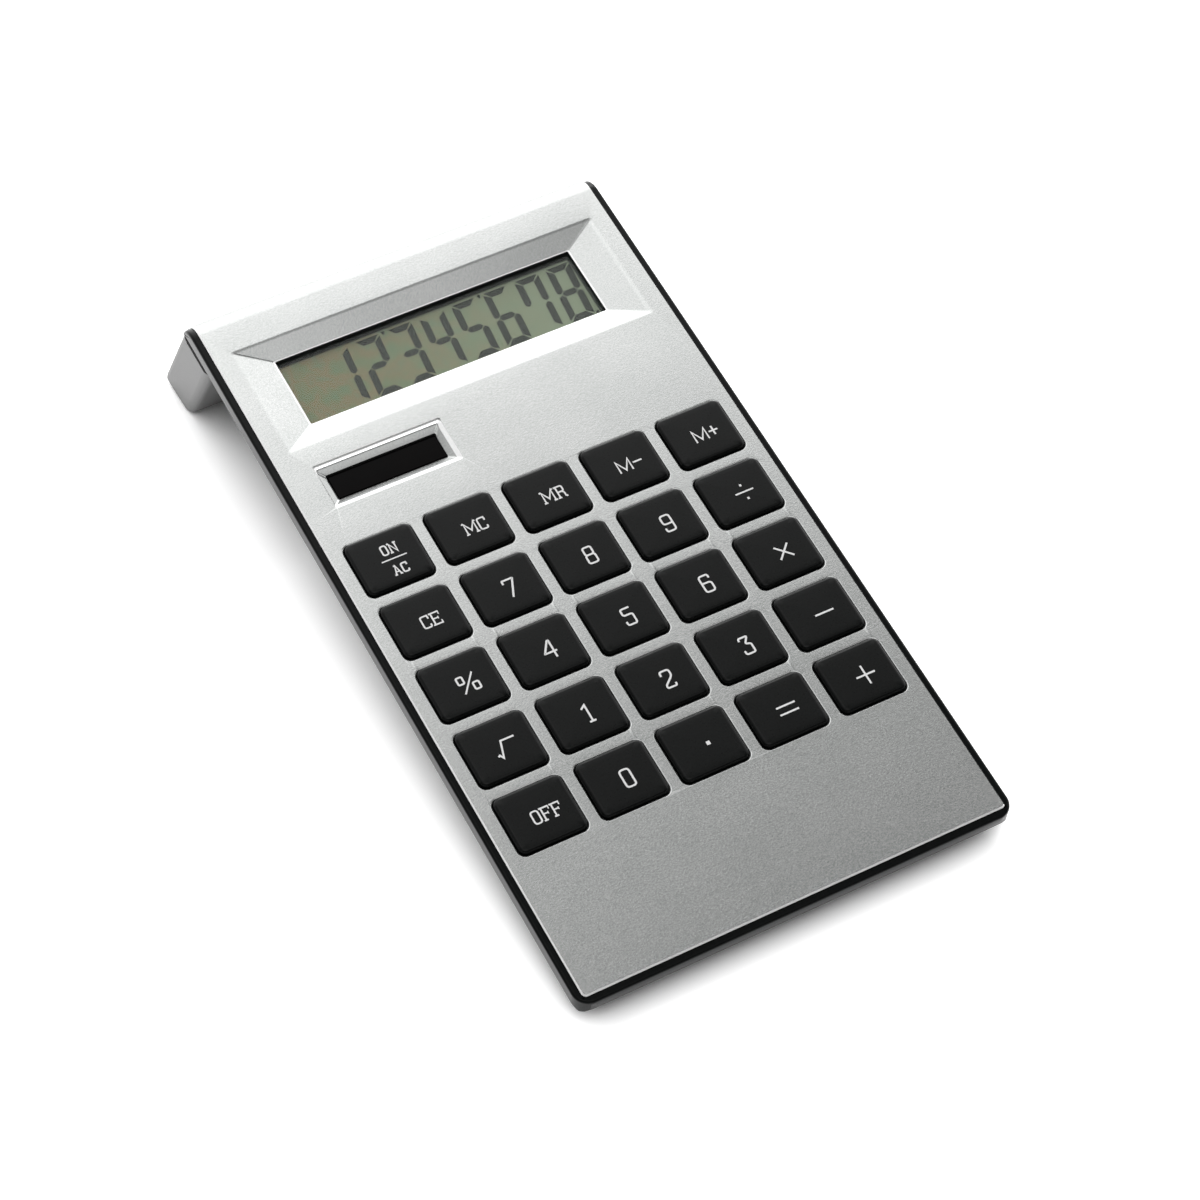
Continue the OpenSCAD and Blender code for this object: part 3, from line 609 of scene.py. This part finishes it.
def glyph(kind):
    """Pen lines of one sign: a list of (points, width, closed, corner radius)."""
    d = 0.43
    sx, sy = 1.05, 2.07
    if kind == "0":
        return [([(-sx, -sy), (sx, -sy), (sx, sy), (-sx, sy)], d, True, 0.7)]
    if kind == "1":
        return [([(-0.95, 1.25), (0.1, 2.0), (0.1, -2.1)], d, False, 0.0),
                ([(-0.62, -2.1), (0.82, -2.1)], d, False, 0)]
    if kind == "2":
        return [([(-sx, 1.0), (-sx, sy), (sx, sy), (sx, 0.45),
                  (-sx, -1.35), (-sx, -sy), (sx, -sy), (sx, -1.35)], d, False, 0.6)]
    if kind == "3":
        return [([(-sx, 1.35), (-sx, sy), (sx, sy), (-0.1, 0.42),
                  (sx, 0.15), (sx, -sy), (-sx, -sy), (-sx, -1.1)], d, False, 0.45)]
    if kind == "4":
        return [([(0.75, -2.3), (0.75, sy), (0.45, sy), (-1.35, -0.75), (1.45, -0.75)], d, False, 0.1)]
    if kind == "5":
        return [([(sx, sy), (-sx, sy), (-sx, 0.42), (sx, 0.42),
                  (sx, -sy), (-sx, -sy), (-sx, -1.1)], d, False, 0.5)]
    if kind == "6":
        return [([(sx, 1.15), (sx, sy), (-sx, sy), (-sx, -sy),
                  (sx, -sy), (sx, 0.2), (-sx, 0.2)], d, False, 0.65)]
    if kind == "7":
        return [([(-1.25, 1.2), (-1.25, 2.1), (1.2, 2.1), (-0.65, -2.35)], d, False, 0.08)]
    if kind == "8":
        return [([(-sx, 0.1), (sx, 0.1), (sx, -sy), (-sx, -sy)], d, True, 0.55),
                ([(-0.95, 0.1), (0.95, 0.1), (0.95, sy), (-0.95, sy)], d, True, 0.5)]
    if kind == "9":
        return [([(-sx, -1.1), (-sx, -sy), (sx, -sy), (sx, sy),
                  (-sx, sy), (-sx, -0.15), (sx, -0.15)], d, False, 0.65)]
    if kind == ".":
        return [([(-0.42, 0), (0.42, 0)], 0.9, False, 0)]
    t = 0.38
    if kind == "divide":
        return [([(-2.15, 0), (2.15, 0)], t, False, 0), ([(-0.25, 1.78), (0.25, 1.78)], 0.55, False, 0),
                ([(-0.25, -1.82), (0.25, -1.82)], 0.55, False, 0)]
    if kind == "times":
        return [([(-1.62, 1.66), (1.62, -1.7)], 0.42, False, 0),
                ([(-1.62, -1.7), (1.62, 1.66)], 0.42, False, 0)]
    if kind == "minus":
        return [([(-2.2, 0), (2.2, 0)], 0.42, False, 0)]
    if kind == "equals":
        return [([(-2.2, 0.9), (2.2, 0.9)], 0.42, False, 0), ([(-2.2, -0.9), (2.2, -0.9)], 0.42, False, 0)]
    if kind == "plus":
        return [([(-2.2, 0), (2.2, 0)], 0.42, False, 0), ([(0, -2.35), (0, 2.35)], 0.42, False, 0)]
    if kind == "percent":
        return [([(-2.05, 0.25), (-0.75, 0.25), (-0.75, 2.0), (-2.05, 2.0)], 0.42, True, 0.35),
                ([(0.75, -2.0), (2.05, -2.0), (2.05, -0.25), (0.75, -0.25)], 0.42, True, 0.35),
                ([(-1.7, -2.2), (1.75, 2.25)], 0.36, False, 0)]
    if kind == "root":
        return [([(-2.5, -1.35), (-2.1, -1.1), (-1.6, -1.95), (-0.45, 1.95), (2.55, 1.95)], 0.42, False, 0)]
    return []


WIDTHS = {"O": 1.9, "N": 2.4, "A": 2.2, "C": 1.95, "M": 3.15, "R": 2.25, "E": 2.2, "F": 2.1}


def letters(text, h, pen=0.37, gap=0.2):
    """Slab letters of one word, laid side by side about the middle."""
    y, q, k = h / 2 - pen / 2, pen / 2, h / 3.25
    out, x = [], 0.0

    def pen_line(*pts, w=pen, r=0.0, closed=False):
        out.append((list(pts), w, closed, r))

    for c in text:
        end = x + WIDTHS[c] * k
        s = 0.36 * k
        a, b = x + s + q * 0.4, end - s - q * 0.4
        if c == "O":
            pen_line((x + q, -y), (end - q, -y), (end - q, y), (x + q, y), r=0.6 * k, closed=True)
        elif c == "C":
            b = end - q
            pen_line((b, 0.4 * y), (b, y), (x + q, y), (x + q, -y), (b, -y), (b, -0.5 * y), r=0.5 * k)
            pen_line((b, y + q), (b, 0.4 * y), w=pen * 0.8)
        elif c == "N":
            pen_line((a, -y), (a, y), (b, -y), (b, y))
            pen_line((x, y), (a, y))
            pen_line((x, -y), (a + s, -y))
            pen_line((b - s, y), (end, y))
        elif c == "A":
            m = (x + end) / 2
            pen_line((a - 0.05, -y), (m, y), (b + 0.05, -y))
            pen_line((a + 0.15 * k, -0.38 * y), (b - 0.15 * k, -0.38 * y), w=pen * 0.8)
            pen_line((x, -y), (a + 0.7 * s, -y))
            pen_line((b - 0.7 * s, -y), (end, -y))
            pen_line((m - 1.4 * s, y), (m, y))
        elif c == "M":
            pen_line((a, -y), (a, y), ((x + end) / 2, -0.45 * y), (b, y), (b, -y))
            for at, to in ((x, a), (b, end)):
                pen_line((at, y), (to, y))
            pen_line((x, -y), (a + s, -y))
            pen_line((b - s, -y), (end, -y))
        elif c == "R":
            b = end - 1.1 * s
            pen_line((a, -y), (a, y))
            pen_line((x, y), (b, y), (b, 0.02 * y), (a, 0.02 * y), r=0.45 * k)
            pen_line((b - 0.5 * k, 0.02 * y), (b - 0.05, -0.25 * y), (b - 0.05, -y), r=0.3 * k)
            pen_line((x, -y), (a + s, -y))
            pen_line((b - 0.05, -y), (end, -y))
        else:
            b = end - q * 0.8
            pen_line((a, -y), (a, y))
            pen_line((x, y), (end, y))
            pen_line((b, y + q), (b, 0.5 * y), w=pen * 0.7)
            pen_line((a, 0.02 * y), (b - 0.45 * k, 0.02 * y), w=pen * 0.9)
            pen_line((b - 0.45 * k, 0.24 * y), (b - 0.45 * k, -0.2 * y), w=pen * 0.6)
            if c == "E":
                pen_line((x, -y), (end, -y))
                pen_line((b, -y - q), (b, -0.5 * y), w=pen * 0.7)
            else:
                pen_line((x, -y), (a + s + 0.1, -y))
        x = end + gap
    half = (x - gap) / 2
    return [([(p[0] - half, p[1]) for p in pts], w, closed, r) for pts, w, closed, r in out]


def memory(sign):
    """A thin M with a plus or a minus."""
    y = 1.55
    lines = [([(-2.75, -y), (-2.75, y), (-1.3, -0.75 * y), (0.15, y), (0.15, -y)], 0.38, False, 0),
             ([(0.8, 0.05), (2.9, 0.05)], 0.4, False, 0)]
    if sign == "+":
        lines.append(([(1.85, -1.15), (1.85, 1.25)], 0.4, False, 0))
    return lines


def shifted(lines, dx, dy):
    return [([(p[0] + dx, p[1] + dy) for p in pts], w, c, r) for pts, w, c, r in lines]


SIGNS = {
    "key_on_ac": shifted(letters("ON", 2.72), 0.0, 2.68) + [([(-2.9, 0.15), (2.9, 0.15)], 0.3, False, 0)]
                 + shifted(letters("AC", 2.6), 0.05, -2.8),
    "key_mc": shifted(letters("MC", 3.25), 0.25, 0), "key_mr": shifted(letters("MR", 3.25), 0.25, 0),
    "key_m_minus": memory("-"), "key_m_plus": memory("+"),
    "key_ce": letters("CE", 3.3), "key_off": shifted(letters("OFF", 3.3), 0.2, 0),
    "key_divide": glyph("divide"), "key_multiply": glyph("times"), "key_minus": glyph("minus"),
    "key_plus": glyph("plus"), "key_equals": glyph("equals"), "key_percent": glyph("percent"),
    "key_root": glyph("root"), "key_point": glyph("."),
}
for digit in "0123456789":
    SIGNS["key_" + digit] = glyph(digit)


CROWN = 0.04
CROWN_SPAN = 0.86
CAP_SIZE, CAP_R, CAP_ROUND = (15.2, 13.7), 1.55, 0.75
SIGN_AT = (0.9, -0.65)
SIGN_LIFT, STROKE_STEP = 0.02, 0.0006
FLANGE_GROW, FLANGE_R = 1.6, 1.5
PLUNGER_D, BORE_D = 6, 4.4


def crown(dx, dy, size):
    """Fall of a key's top below its middle."""
    t = max(abs(dx) / (size[0] / 2), abs(dy) / (size[1] / 2))
    return CROWN * t * t


def build_key(node):
    low, high = KEY_BOXES[node]
    at = ((low.x + high.x) / 2, (low.y + high.y) / 2)
    size, r, round_r, top = CAP_SIZE, CAP_R, CAP_ROUND, high.z
    sheet = Sheet()
    # gently crowned top: a grid of rings that shrink to the middle
    last = None
    profile = []
    for i in range(7):
        t = i / 6
        profile.append((t * CROWN_SPAN, top - CROWN * t * t * CROWN_SPAN * CROWN_SPAN))
    for i in range(1, 8):
        a = math.radians(90 * i / 7)
        profile.append((None, a))
    rings = []
    for i, (t, z) in enumerate(profile):
        if t is not None:
            k = max(t, 0.02)
            w = (size[0] - 2 * round_r) * k / CROWN_SPAN
            h = (size[1] - 2 * round_r) * k / CROWN_SPAN
            rr = (r - round_r) * k / CROWN_SPAN
            rings.append((rounded_box(at, (w, h), max(rr, 0.01)), z))
        else:
            a = z
            grow = round_r * math.sin(a)
            w, h = size[0] - 2 * round_r + 2 * grow, size[1] - 2 * round_r + 2 * grow
            rings.append((rounded_box(at, (w, h), r - round_r + grow),
                          top - CROWN - round_r * (1 - math.cos(a))))
    # side wall, flange and hollow underside
    rings.append((rounded_box(at, size, r), -1.55))
    flange = rounded_box(at, (size[0] + FLANGE_GROW, size[1] + FLANGE_GROW), FLANGE_R)
    rings += [(flange, -1.56), (flange, -2.3)]
    rings.append((rounded_box(at, (size[0] - 2.4, size[1] - 2.4), 0.4), -2.31))
    rings.append((rounded_box(at, (size[0] - 2.5, size[1] - 2.5), 0.4), -0.25))
    for pts, z in rings:
        ids = sheet.add([(x, y, z) for x, y in pts])
        if last is None:
            sheet.face(ids)
        else:
            sheet.bridge(last, ids, 0, True)
        last = ids
    sheet.face(last[::-1])
    plunger = rounded_box(at, (PLUNGER_D, PLUNGER_D), PLUNGER_D / 2 - 0.01)
    bore = rounded_box(at, (BORE_D, BORE_D), BORE_D / 2 - 0.01)
    a = sheet.add([(x, y, -0.25) for x, y in plunger])
    b = sheet.add([(x, y, -2.9) for x, y in plunger])
    c = sheet.add([(x, y, -2.9) for x, y in bore])
    e = sheet.add([(x, y, -0.3) for x, y in bore])
    sheet.bridge(a, b, 0, True)
    sheet.bridge(b, c, 0, True)
    sheet.bridge(c, e, 0, True)
    sheet.face(e[::-1])
    # printed sign, just proud of the top
    lift = SIGN_LIFT
    for pts, w, closed, corner in SIGNS[node]:
        line = arc_corner(pts, corner, closed) if corner else pts
        for q in ribbon(line, w, closed):
            offsets = [(SIGN_AT[0] + p.x, SIGN_AT[1] + p.y) for p in q]
            ids = sheet.add([(at[0] + dx, at[1] + dy, top + lift - crown(dx, dy, size))
                             for dx, dy in offsets])
            sheet.face(ids, 1)
        lift += STROKE_STEP
    obj = make(node.replace("key_", "cap_"), sheet.verts, sheet.faces, [KEY, PRINT], BODY_OF[node],
               [node], sheet.mats)
    bm = bmesh.new()
    bm.from_mesh(obj.data)
    turn_print_up(bm)
    mark_sharp(bm, 50)
    bm.to_mesh(obj.data)
    bm.free()


for key_node in KEY_BOXES:
    build_key(key_node)


# ---------------------------------------------------------------- display
SEGMENTS_OF = {"1": "bc", "2": "abged", "3": "abgcd", "4": "fgbc", "5": "afgcd", "6": "afgecd", "7": "fabc",
               "8": "abcdefg"}


DIGIT_W, DIGIT_H, SEGMENT_W, SEGMENT_GAP = 5.95, 15.6, 1.64, 0.12
DIGIT_PITCH, LAST_DIGIT_X, DIGITS_Y = 7.86, 31.75, 158.65
DIGIT_SLANT = math.tan(math.radians(5.2))


def segment_shapes():
    """The seven segments of one digit, before its slant, about its middle."""
    w, h, t, g = DIGIT_W / 2, DIGIT_H / 2, SEGMENT_W, SEGMENT_GAP
    c = t * 0.5
    mid = t / 2
    return {
        "a": [(-w + g + 0.15, h), (w - g - 0.15, h),
              (w - t - g * 0.3, h - t), (-w + t + g * 0.3, h - t)],
        "d": [(-w + t + g * 0.3, -h + t), (w - t - g * 0.3, -h + t),
              (w - g - 0.15, -h), (-w + g + 0.15, -h)],
        "f": [(-w, h - g - 0.3), (-w + t, h - t - g), (-w + t, mid + g), (-w + c, g + 0.02), (-w, g + 0.6)],
        "b": [(w, h - g - 0.3), (w, g + 0.6), (w - c, g + 0.02), (w - t, mid + g), (w - t, h - t - g)],
        "e": [(-w, -h + g + 0.3), (-w, -g - 0.6), (-w + c, -g - 0.02), (-w + t, -mid - g),
              (-w + t, -h + t + g)],
        "c": [(w, -h + g + 0.3), (w - t, -h + t + g), (w - t, -mid - g), (w - c, -g - 0.02), (w, -g - 0.6)],
        "g": [(-w + t * 0.55 + g, 0), (-w + t + g, mid), (w - t - g, mid),
              (w - t * 0.55 - g, 0), (w - t - g, -mid), (-w + t + g, -mid)],
    }


def build_display():
    low, high = case_box("front_polariser")
    top = high.z
    mid = ((low.x + high.x) / 2, (low.y + high.y) / 2)
    size = (high.x - low.x, high.y - low.y)
    sheet = Sheet()
    nx, ny = 24, 8
    grid = [[None] * (ny + 1) for _ in range(nx + 1)]
    for i in range(nx + 1):
        for j in range(ny + 1):
            x = mid[0] + size[0] * (i / nx - 0.5)
            y = mid[1] + size[1] * (j / ny - 0.5)
            grid[i][j] = sheet.add([(x, y, top)])[0]
    for i in range(nx):
        for j in range(ny):
            sheet.face([grid[i][j], grid[i + 1][j], grid[i + 1][j + 1], grid[i][j + 1]])
    edge = [grid[i][0] for i in range(nx)] + [grid[nx][j] for j in range(ny)]
    edge += [grid[i][ny] for i in range(nx, 0, -1)] + [grid[0][j] for j in range(ny, 0, -1)]
    under = sheet.add([(sheet.verts[k][0], sheet.verts[k][1], low.z) for k in edge])
    sheet.bridge(edge, under, 0, True)
    sheet.face(under[::-1])
    # dark segments, a little above the film
    shapes = segment_shapes()
    z = top + 0.05

    def poly(points, at_x):
        ids = sheet.add([(at_x + x + DIGIT_SLANT * y, DIGITS_Y + y, z) for x, y in points])
        sheet.face(ids, 1)

    for k, c in enumerate(SEGMENTS_OF):
        at_x = LAST_DIGIT_X - DIGIT_PITCH * (7 - k)
        for s in SEGMENTS_OF[c]:
            poly(shapes[s], at_x)
    # thousands marks, then the decimal point
    for after in (1, 4):
        at_x = LAST_DIGIT_X - DIGIT_PITCH * (7 - after) + DIGIT_PITCH / 2
        poly([(-0.5, 8.0), (0.5, 8.0), (0.25, 7.1), (-0.1, 6.9)], at_x)
    poly([(2.75, -7.85), (3.45, -7.85), (3.45, -7.15), (2.75, -7.15)], LAST_DIGIT_X + 0.55)
    obj = make("display_face", sheet.verts, sheet.faces, [LCD, SEGMENT], "case",
               ["front_polariser"], sheet.mats, smooth=False)
    bm = bmesh.new()
    bm.from_mesh(obj.data)
    turn_print_up(bm)
    bm.to_mesh(obj.data)
    bm.free()


build_display()


# ---------------------------------------------------------------- keypad mat
MAT_T = 0.7
PILL_T = 0.53
DOME_R, POST_HOLE_R, PILL_R = 3.3, 1.75, 1.5


def circle(c, r, steps=32):
    angles = [2 * math.pi * i / steps for i in range(steps)]
    return [(c[0] + r * math.cos(a), c[1] + r * math.sin(a)) for a in angles]


def turned_solid(name, at, profile, mats, body, replaced):
    """A solid turned about an axis square to the panel.
    Its (radius, z) points start and end on the axis."""
    sheet = Sheet()
    last = None
    for r, z in profile:
        ring_points = circle(at, r) if r else [at]
        ids = sheet.add([(x, y, z) for x, y in ring_points])
        if last and len(last) == len(ids):
            sheet.bridge(last, ids, 0, True)
        elif last:
            tip, ring = (last[0], ids) if len(last) == 1 else (ids[0], last)
            for i in range(len(ring)):
                sheet.face([tip, ring[i - 1], ring[i]])
        last = ids
    obj = make(name, sheet.verts, sheet.faces, mats, body, replaced)
    bm = bmesh.new()
    bm.from_mesh(obj.data)
    bmesh.ops.recalc_face_normals(bm, faces=bm.faces)
    mark_sharp(bm, 30)
    bm.to_mesh(obj.data)
    bm.free()
    return obj


def build_mat():
    """The rubber sheet stays, each dome stands loose with no body, and each pill follows its key."""
    low, high = case_box("keypad_mat")
    sheet_z = low.z + MAT_T
    at = {n: ((a.x + b.x) / 2, (a.y + b.y) / 2) for n, (a, b) in KEY_BOXES.items()}

    mid = Vector(at["key_5"])
    corner = (mid + Vector(at["key_1"])) / 2
    posts = [(corner.x, corner.y), (2 * mid.x - corner.x, corner.y)]
    outline = [(low.x, low.y), (high.x, low.y), (high.x, high.y), (low.x, high.y)]
    holes = [circle(c, DOME_R) for c in at.values()] + [circle(c, POST_HOLE_R) for c in posts]
    verts, faces, loops = cut_sheet(outline, holes)
    plate = Sheet()
    top = plate.add([(v.x, v.y, sheet_z) for v in verts])
    bottom = plate.add([(v.x, v.y, low.z) for v in verts])
    for f in faces:
        plate.face([top[i] for i in f])
        plate.face([bottom[i] for i in f][::-1])
    for ids in loops:
        plate.bridge([top[i] for i in ids], [bottom[i] for i in ids], 0, True)
    mat = make("mat_sheet", plate.verts, plate.faces, [MAT_RUBBER], "case", ["keypad_mat"])
    face_up(mat, 40)
    for node, c in at.items():
        name = node.replace("key_", "")
        dome_top, roof = high.z, high.z - 0.65
        foot_z = sheet_z - 0.02
        profile = [(0, dome_top), (2.7, dome_top), (2.9, dome_top - 0.15), (4.0, foot_z), (DOME_R, foot_z),
                   (2.2, roof), (0, roof)]
        dome = turned_solid("dome_" + name, c, profile, [MAT_RUBBER], None, ["keypad_mat"])
        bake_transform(dome)
        # the pill stops just short of the board when its key is down
        end = roof - PILL_T
        turned_solid("pill_" + name, c, [(0, roof), (PILL_R, roof), (PILL_R, end), (0, end)],
                     [CARBON], BODY_OF[node], ["contact_pills"])


build_mat()


# ---------------------------------------------------------------- everything else, from its CAD solid
CASING_HALF_W, CASING_CORNER_R, CASING_ROLL_R = 50.0, 3.7, 6.0


def rim_share(a, b):
    """The casing's outer top edge gets the whole rounding, its lower edges a third, and the rest little."""
    def outer(p):
        if abs(p.x) > CASING_HALF_W - 0.05 or p.y < 0.05:
            return True
        corner = Vector((abs(p.x) - (CASING_HALF_W - CASING_CORNER_R), p.y - CASING_CORNER_R))
        return p.y < CASING_CORNER_R and abs(corner.length - CASING_CORNER_R) < 0.06

    def upper(p):
        from_roll = abs(math.hypot(p.y - ROLL_Y, p.z + ROLL_R) - CASING_ROLL_R)
        return p.z > -0.6 or (p.y > ROLL_Y - 0.1 and from_roll < 0.06)

    if outer(a) and outer(b):
        return 1.0 if upper(a) and upper(b) else 0.35
    return 0.1


EDGES = {
    "rear_casing": 0.65, "rear_foot": 0.35, "battery_cover": 0.2, "display_window": 0.05,
    "solar_window": 0.12, "main_board": 0.05, "button_cell": 0.2, "display_holder": 0.1,
    "front_rubber_feet": 0.3, "rear_rubber_feet": 0.2,
}
DONE = {"front_panel", "front_polariser", "keypad_mat", "contact_pills"} | set(KEY_BOXES)
for n in sorted(NODES):
    if n not in DONE:
        rounds = 5 if n in ("rear_casing", "rear_foot") else 2
        # the foot takes the silver copy whose darker colour is painted shade
        paint = SHADED_FOOT_SILVER if n == "rear_foot" else None
        detail(n, EDGES.get(n, 0.06), rounds, mat=paint, weigh=rim_share if n == "rear_casing" else None)

# ---------------------------------------------------------------- floor, light, camera
floor_mesh = bpy.data.meshes.new("floor")
floor_mesh.from_pydata([(-6, -6, 0), (6, -6, 0), (6, 6, 0), (-6, 6, 0)], [], [(0, 1, 2, 3)])
floor = bpy.data.objects.new("floor", floor_mesh)
bpy.context.scene.collection.objects.link(floor)
m, nt, bsdf = material("white_table")
nt.links.new(ramp(nt, noise(nt, 3.0), [(0.3, grey(0.92)), (0.7, grey(0.94))]), bsdf.inputs["Base Color"])
bsdf.inputs["Roughness"].default_value = 0.9
bsdf.inputs["Specular IOR Level"].default_value = 0.1
# painted light and shade: the table glows where it is open, and the glow fades to a painted contact shadow where
# the object stands close over it
open_sky = put(nt, "ShaderNodeAmbientOcclusion", samples=8)
open_sky.inputs["Distance"].default_value = 0.045
glow = put(nt, "ShaderNodeMapRange")
glow.inputs["From Min"].default_value = 0.35
glow.inputs["From Max"].default_value = 0.74
glow.inputs["To Max"].default_value = 0.66
nt.links.new(open_sky.outputs["AO"], glow.inputs["Value"])
bsdf.inputs["Emission Color"].default_value = (1, 1, 1, 1)
nt.links.new(glow.outputs["Result"], bsdf.inputs["Emission Strength"])
floor_mesh.materials.append(m)


def area(name, at, target, size, size_y, power):
    data = bpy.data.lights.new(name, "AREA")
    data.shape = "RECTANGLE"
    data.size = size
    data.size_y = size_y
    data.energy = power
    lamp = bpy.data.objects.new(name, data)
    lamp.location = at
    lamp.rotation_euler = (Vector(target) - Vector(at)).to_track_quat("-Z", "Y").to_euler()
    bpy.context.scene.collection.objects.link(lamp)


area("key_light", (0.45, 0.85, 0.52), (0, 0.02, 0.01), 0.5, 0.3, 1.8)

bpy.context.scene.view_settings.view_transform = "Standard"
world = bpy.data.worlds.new("studio")
bpy.context.scene.world = world
world.use_nodes = True
wt = world.node_tree
background = wt.nodes["Background"]
where = wt.nodes.new("ShaderNodeTexCoord")


def toward(direction, low, high, at_low=0.0, at_high=1.0):
    """A smooth step of how far the sky's direction lies along another."""
    along_it = put(wt, "ShaderNodeVectorMath", operation="DOT_PRODUCT")
    along_it.inputs[1].default_value = direction
    wt.links.new(where.outputs["Generated"], along_it.inputs[0])
    step = put(wt, "ShaderNodeMapRange", interpolation_type="SMOOTHSTEP")
    for slot_name, value in (("From Min", low), ("From Max", high), ("To Min", at_low), ("To Max", at_high)):
        step.inputs[slot_name].default_value = value
    wt.links.new(along_it.outputs["Value"], step.inputs["Value"])
    return step.outputs["Result"]


def times(x, y, how="MULTIPLY"):
    n = put(wt, "ShaderNodeMath", operation=how)
    wt.links.new(x, n.inputs[0])
    if hasattr(y, "links"):
        wt.links.new(y, n.inputs[1])
    else:
        n.inputs[1].default_value = y
    return n.outputs[0]


# a wide bank of light behind the object, a ceiling that is brightest to the front and left, and a dark room
bank = times(toward((0.35, 0.90, 0.0), -0.05, 0.30), toward((0.35, 0.0, 1.0), 0.952, 1.015, 1.0, 0.0))
bank = times(bank, toward((1.0, 0.0, 0.0), -0.5, 0.15, 0.6, 1.0))
bank = times(bank, toward((1.0, 0.0, 0.0), 0.4, 0.8, 1.0, 0.7))
ceiling = times(toward((0.0, 0.0, 1.0), 0.45, 0.85), toward((0.0, 1.0, 0.0), -0.35, 0.15, 1.05, 0.325))
ceiling = times(ceiling, toward((1.0, 0.0, 0.0), 0.12, 0.46, 1.7, 0.25))
sky = times(times(times(bank, 2.45), ceiling, "MAXIMUM"), 0.05, "MAXIMUM")
wt.links.new(sky, background.inputs["Color"])
background.inputs["Strength"].default_value = 1.0

# the camera stands in front, to the left and well above, on a long lens: case-frame place and angles
EYE = Vector((-219.4, -251.5, 601.9))
HEADING, PITCH, ROLL = math.radians(33.123), math.radians(-56.561), math.radians(6.022)
camera_data = bpy.data.cameras.new("camera")
camera_data.sensor_width = 36
camera_data.lens = 103.98
camera_data.clip_start = 0.01
camera = bpy.data.objects.new("camera", camera_data)
bpy.context.scene.collection.objects.link(camera)
aim = Matrix.Rotation(-HEADING, 3, "Z") @ Matrix.Rotation(math.radians(90) + PITCH, 3, "X")
aim = Matrix.Rotation(TILT, 3, "X") @ aim @ Matrix.Rotation(ROLL, 3, "Z")
camera.matrix_world = Matrix.Translation(CASE @ EYE) @ aim.to_4x4()
bpy.context.scene.camera = camera

bpy.context.view_layer.update()
